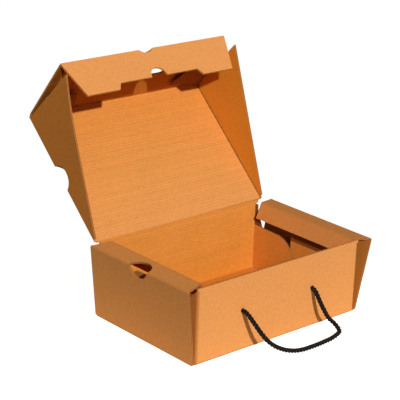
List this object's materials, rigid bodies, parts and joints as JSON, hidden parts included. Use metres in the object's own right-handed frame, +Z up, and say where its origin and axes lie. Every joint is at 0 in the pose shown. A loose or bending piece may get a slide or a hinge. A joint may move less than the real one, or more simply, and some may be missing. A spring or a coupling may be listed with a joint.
{
  "type": "corrugated shoe box",
  "caption": "Open kraft corrugated shoe box folded from one blank, with a hinged lid as deep as the tray, rolled ends, a finger hole and a black cord handle.",
  "frame": {"origin": "middle of the underside of the tray", "axes": "+X along the front wall to the right, +Y from the front wall to the hinge of the lid, +Z up"},
  "size_m": [0.369, 0.4531, 0.3688],
  "materials": {
    "kraft_board": "uncoated kraft liner",
    "black_cord": "twisted cord"
  },
  "bodies": {
    "tray": {"tray": "kraft_board", "handle_cord": "black_cord", "handle_knots": "black_cord"},
    "left_end_flap": {"left_end_flap": "kraft_board"},
    "right_end_flap": {"right_end_flap": "kraft_board"},
    "lid": {"lid": "kraft_board"},
    "lid_left_side": {"lid_left_side": "kraft_board"},
    "lid_right_side": {"lid_right_side": "kraft_board"},
    "lid_front_flap": {"lid_front_flap": "kraft_board"}
  },
  "joints": [
    {"name": "lid_hinge", "type": "hinge", "parent": "tray", "child": "lid", "pos_m": [0, 0.1106, 0.1188], "axis": [-1, 0, 0], "range_deg": [-137.5, 40], "deforming": ["handle_cord"]},
    {"name": "left_end_crease", "type": "hinge", "parent": "tray", "child": "left_end_flap", "pos_m": [-0.1646, 0, 0.0014], "axis": [0, -1, 0], "range_deg": [-6.7, 2]},
    {"name": "right_end_crease", "type": "hinge", "parent": "tray", "child": "right_end_flap", "pos_m": [0.1646, 0, 0.0014], "axis": [0, 1, 0], "range_deg": [-14.6, 4.3]},
    {"name": "lid_left_crease", "type": "hinge", "parent": "lid", "child": "lid_left_side", "pos_m": [-0.1686, 0.1106, 0.1188], "axis": [0, -0.7373, -0.6756], "range_deg": [-2.4, 8.1]},
    {"name": "lid_right_crease", "type": "hinge", "parent": "lid", "child": "lid_right_side", "pos_m": [0.1686, 0.1106, 0.1188], "axis": [0, 0.7373, 0.6756], "range_deg": [-1.1, 0.4]},
    {"name": "lid_front_crease", "type": "hinge", "parent": "lid", "child": "lid_front_flap", "pos_m": [0, 0.20932, 0.36458], "axis": [-1, 0, 0], "range_deg": [-77.2, 22.6]}
  ],
  "couplings": [
    {"joint": "left_end_crease", "follows": "lid_hinge", "ratio": 0.048},
    {"joint": "right_end_crease", "follows": "lid_hinge", "ratio": 0.1055},
    {"joint": "lid_left_crease", "follows": "lid_hinge", "ratio": -0.0582},
    {"joint": "lid_right_crease", "follows": "lid_hinge", "ratio": 0.0073},
    {"joint": "lid_front_crease", "follows": "lid_hinge", "ratio": 0.56}
  ]
}
